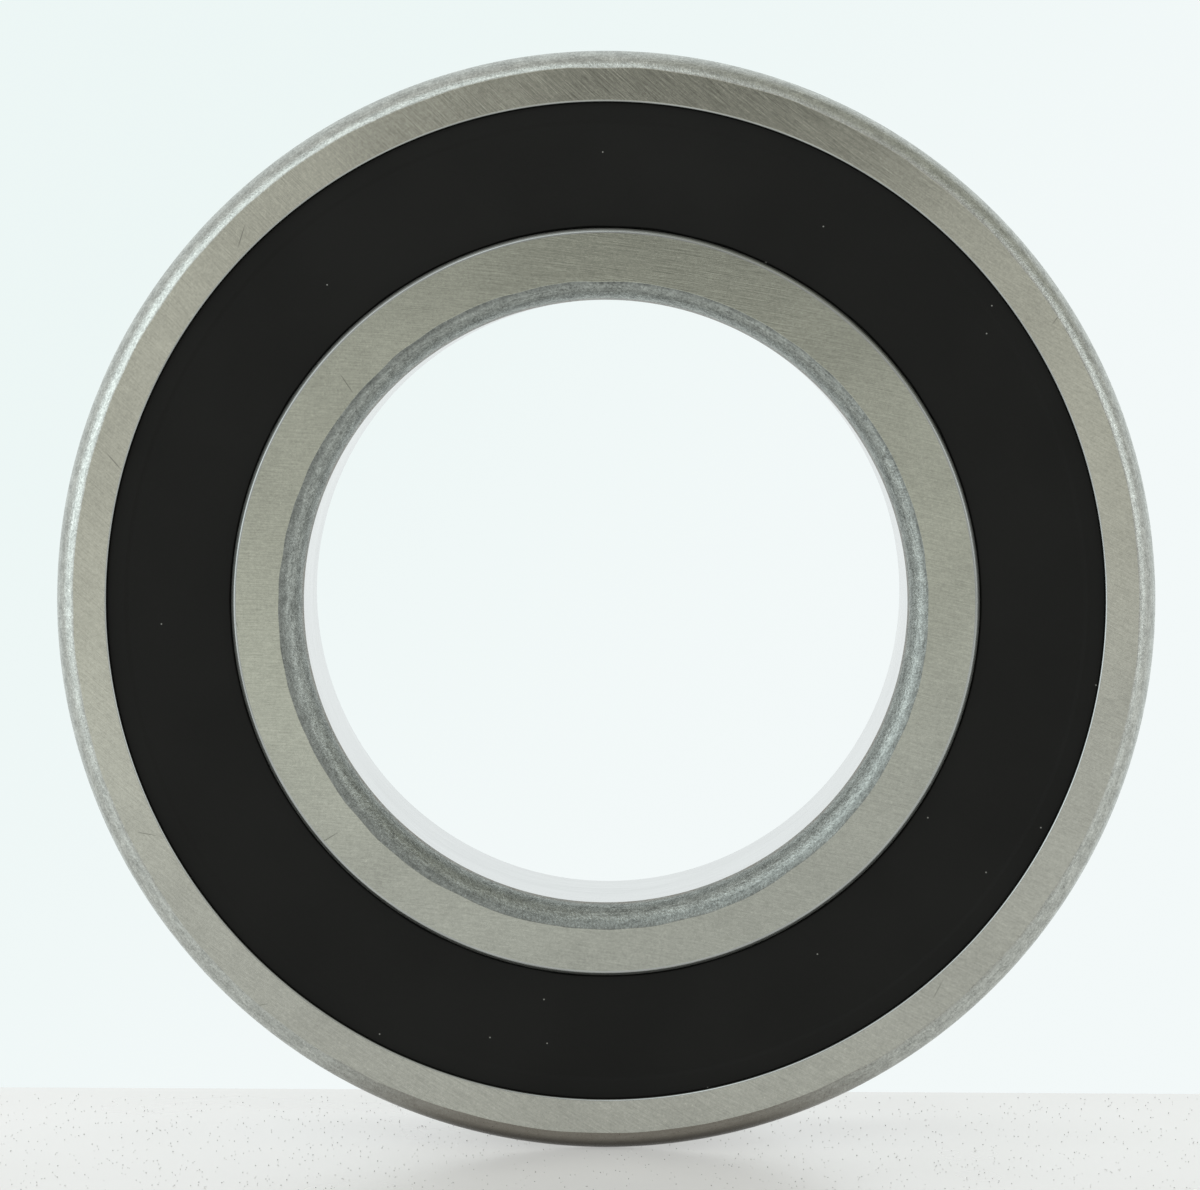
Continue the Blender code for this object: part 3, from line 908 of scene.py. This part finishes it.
def pierce(piece):
    """Cut the rivet holes through a cage half."""
    bm = bmesh.new()
    for node in RIVETS:
        hole = bmesh.ops.create_cone(
            bm, cap_ends=True, segments=RIVET_SEGMENTS, depth=6 * CAGE_THICKNESS,
            radius1=RIVET_HOLE_RADIUS, radius2=RIVET_HOLE_RADIUS,
        )
        bmesh.ops.rotate(bm, verts=hole["verts"], matrix=ALONG_Y)
        bmesh.ops.translate(bm, verts=hole["verts"], vec=node_centre(node))
    cutter = add_object("rivet_holes", mesh_from(bm, "rivet_holes"))
    holes = piece.modifiers.new("holes", "BOOLEAN")
    holes.operation = "DIFFERENCE"
    holes.solver = "EXACT"
    holes.object = cutter
    evaluated = piece.evaluated_get(bpy.context.evaluated_depsgraph_get())
    pierced = bpy.data.meshes.new_from_object(evaluated)
    piece.modifiers.clear()
    piece.data = pierced
    bpy.data.objects.remove(cutter)
    pierced.set_sharp_from_angle(angle=SHARP_ANGLE)


def add_cage():
    steel = pressed_steel("pressed_cage_steel", (0.46, 0.45, 0.43), 30 * DEGREE)
    for side_name, side in (("front", -1), ("rear", 1)):
        half = cage_half(f"pressed_cage_{side_name}", side, steel)
        pierce(half)
        finish_piece(half, f"cage_{side_name}", "cage")


def add_rivets():
    steel = pressed_steel("headed_rivet_steel", (0.55, 0.55, 0.54), 60 * DEGREE)
    land_top = CAGE_LAND_BACK + CAGE_THICKNESS
    head_back = land_top + SEAL_SLIP
    head_top = RIVET_TOP - 0.2 * MM
    head_edge, head_fall, head_round = 0.25 * MM, 0.12 * MM, 0.09 * MM
    dome = [
        (RIVET_SHANK_RADIUS, 0),
        (RIVET_SHANK_RADIUS, head_back),
        (RIVET_HEAD_RADIUS, head_back),
        (RIVET_HEAD_RADIUS, head_back + head_edge),
        (0.72 * RIVET_HEAD_RADIUS, head_top - head_fall),
        (0.40 * RIVET_HEAD_RADIUS, head_top),
        (0.0, head_top),
    ]
    half = rounded(dome, head_round)
    outline = [(r, -y) for r, y in half[:0:-1]] + half[1:]
    for node in RIVETS:
        rivet = spun_solid(f"headed_{node}", outline, node_centre(node), steel)
        finish_piece(rivet, node, "cage")


# ---------------------------------------------------------------- stage, light and camera


def add_table():
    """Light-box top under the bearing, its back edge a little behind the rim."""
    centre = Vector((0, -0.30, -OUTSIDE_RADIUS))
    half_length, half_depth, thickness = 0.60, 0.325, 0.018
    turn = Matrix.Rotation(-1.2 * DEGREE, 3, "Z")
    bm = bmesh.new()
    bmesh.ops.create_cube(bm, size=2)
    bmesh.ops.scale(bm, verts=bm.verts, vec=(half_length, half_depth, thickness / 2))
    bmesh.ops.bevel(bm, geom=bm.edges[:], offset=0.8 * MM, segments=3, affect="EDGES")
    bmesh.ops.rotate(bm, verts=bm.verts, matrix=turn)
    bmesh.ops.translate(bm, verts=bm.verts, vec=centre - Vector((0, 0, thickness / 2)))
    mesh = mesh_from(bm, "table")
    mesh.materials.append(table_top("frosted_sheet"))
    table = add_object("table", mesh)


def table_top(name):
    """White frosted sheet, evenly lit from below, with a slight tone change."""
    material, tree, shader, point = new_material(name)
    cloud = noise(tree, stretched(tree, point, (25 * MM,) * 3), detail=3.0)
    tone = remap(tree, cloud, *NOISE_SPAN)
    sheet = mix(tree, tone, (0.46, 0.46, 0.447, 1), (0.49, 0.49, 0.476, 1))
    surface(tree, shader, sheet, remap(tree, cloud, *NOISE_SPAN, 0.22, 0.28))
    shader.inputs["IOR"].default_value = 1.45
    shader.inputs["Emission Color"].default_value = (1, 1, 0.985, 1)
    shader.inputs["Emission Strength"].default_value = 0.33
    return material


def add_dust():
    """Grey grains scattered over the sheet, clear of the line that the bearing stands on."""
    random = np.random.default_rng(7)
    points, faces = [], []
    lowest = (-DUST_REACH, -DUST_REACH, DUST_SIZES[0])
    highest = (DUST_REACH, HALF_WIDTH * 2, DUST_SIZES[1])
    for x, y, size in random.uniform(lowest, highest, (DUST_GRAINS, 3)):
        if abs(x) < DUST_FREE and abs(y) < HALF_WIDTH:
            continue
        first = len(points)
        middle = Vector((x, y, size - OUTSIDE_RADIUS))
        steps = [Vector(axis) * size for axis in (
            (1, 0, 0), (0, 1, 0), (-1, 0, 0), (0, -1, 0), (0, 0, 1), (0, 0, -1)
        )]
        points += [middle + step for step in steps]
        for corner in range(4):
            after = (corner + 1) % 4
            faces.append((first + corner, first + after, first + 4))
            faces.append((first + after, first + corner, first + 5))
    material, tree, shader, point = new_material("dust")
    tone = remap(tree, noise(tree, stretched(tree, point, (2 * MM,) * 3)), 0.4, 0.6)
    shade = mix(tree, tone, (0.30, 0.30, 0.29, 1), (0.62, 0.61, 0.59, 1))
    tree.links.new(shade, shader.inputs["Base Color"])
    mesh_object("dust", points, faces, [material])


def off_axis(tilt, clock):
    """A direction tilted away from -Y, towards the clock angle."""
    across = Vector((math.cos(clock), 0, math.sin(clock)))
    return Vector((0, -math.cos(tilt), 0)) + across * math.sin(tilt)


def dot_with(tree, direction, aim):
    inputs = {0: direction, 1: aim}
    return add_node(tree, "ShaderNodeVectorMath", inputs, operation="DOT_PRODUCT").outputs["Value"]


def add_world():
    """Soft studio round the bearing; rays from the camera see a plain pale backdrop."""
    world = bpy.data.worlds.new("studio")
    world.use_nodes = True
    bpy.context.scene.world = world
    tree = world.node_tree
    tree.nodes.clear()
    direction = add_node(tree, "ShaderNodeTexCoord").outputs["Generated"]
    behind = remap(tree, dot_with(tree, direction, (0, 1, 0)), -0.6, 0.95)
    light = mix(tree, behind, ROOM, BACKDROP)
    for tilt, clock, middle, faded, colour in STUDIO:
        nearness = dot_with(tree, direction, off_axis(tilt * DEGREE, clock * DEGREE))
        share = remap(tree, nearness, math.cos(faded * DEGREE), math.cos(middle * DEGREE))
        light = mix(tree, share, light, colour)
    sideways = remap(tree, dot_with(tree, direction, (1, 0, -1)), -0.12, 0.12)
    seen = mix(tree, sideways, *BACKDROP_SEEN)
    camera_ray = add_node(tree, "ShaderNodeLightPath").outputs["Is Camera Ray"]
    colour = mix(tree, camera_ray, light, seen)
    background = add_node(tree, "ShaderNodeBackground", {"Color": colour})
    add_node(tree, "ShaderNodeOutputWorld", {"Surface": background.outputs[0]})


def add_camera():
    camera = bpy.data.cameras.new("camera")
    camera.sensor_width = SENSOR_WIDTH
    camera.lens = CAMERA_LENS
    camera.clip_start = 0.05
    holder = add_object("camera", camera)
    holder.location = CAMERA_PLACE
    holder.rotation_euler = CAMERA_TURN
    bpy.context.scene.camera = holder


add_rings()
add_seals()
add_balls()
add_cage()
add_rivets()
add_table()
add_dust()
add_world()
add_camera()
bpy.context.scene.view_settings.view_transform = "Standard"
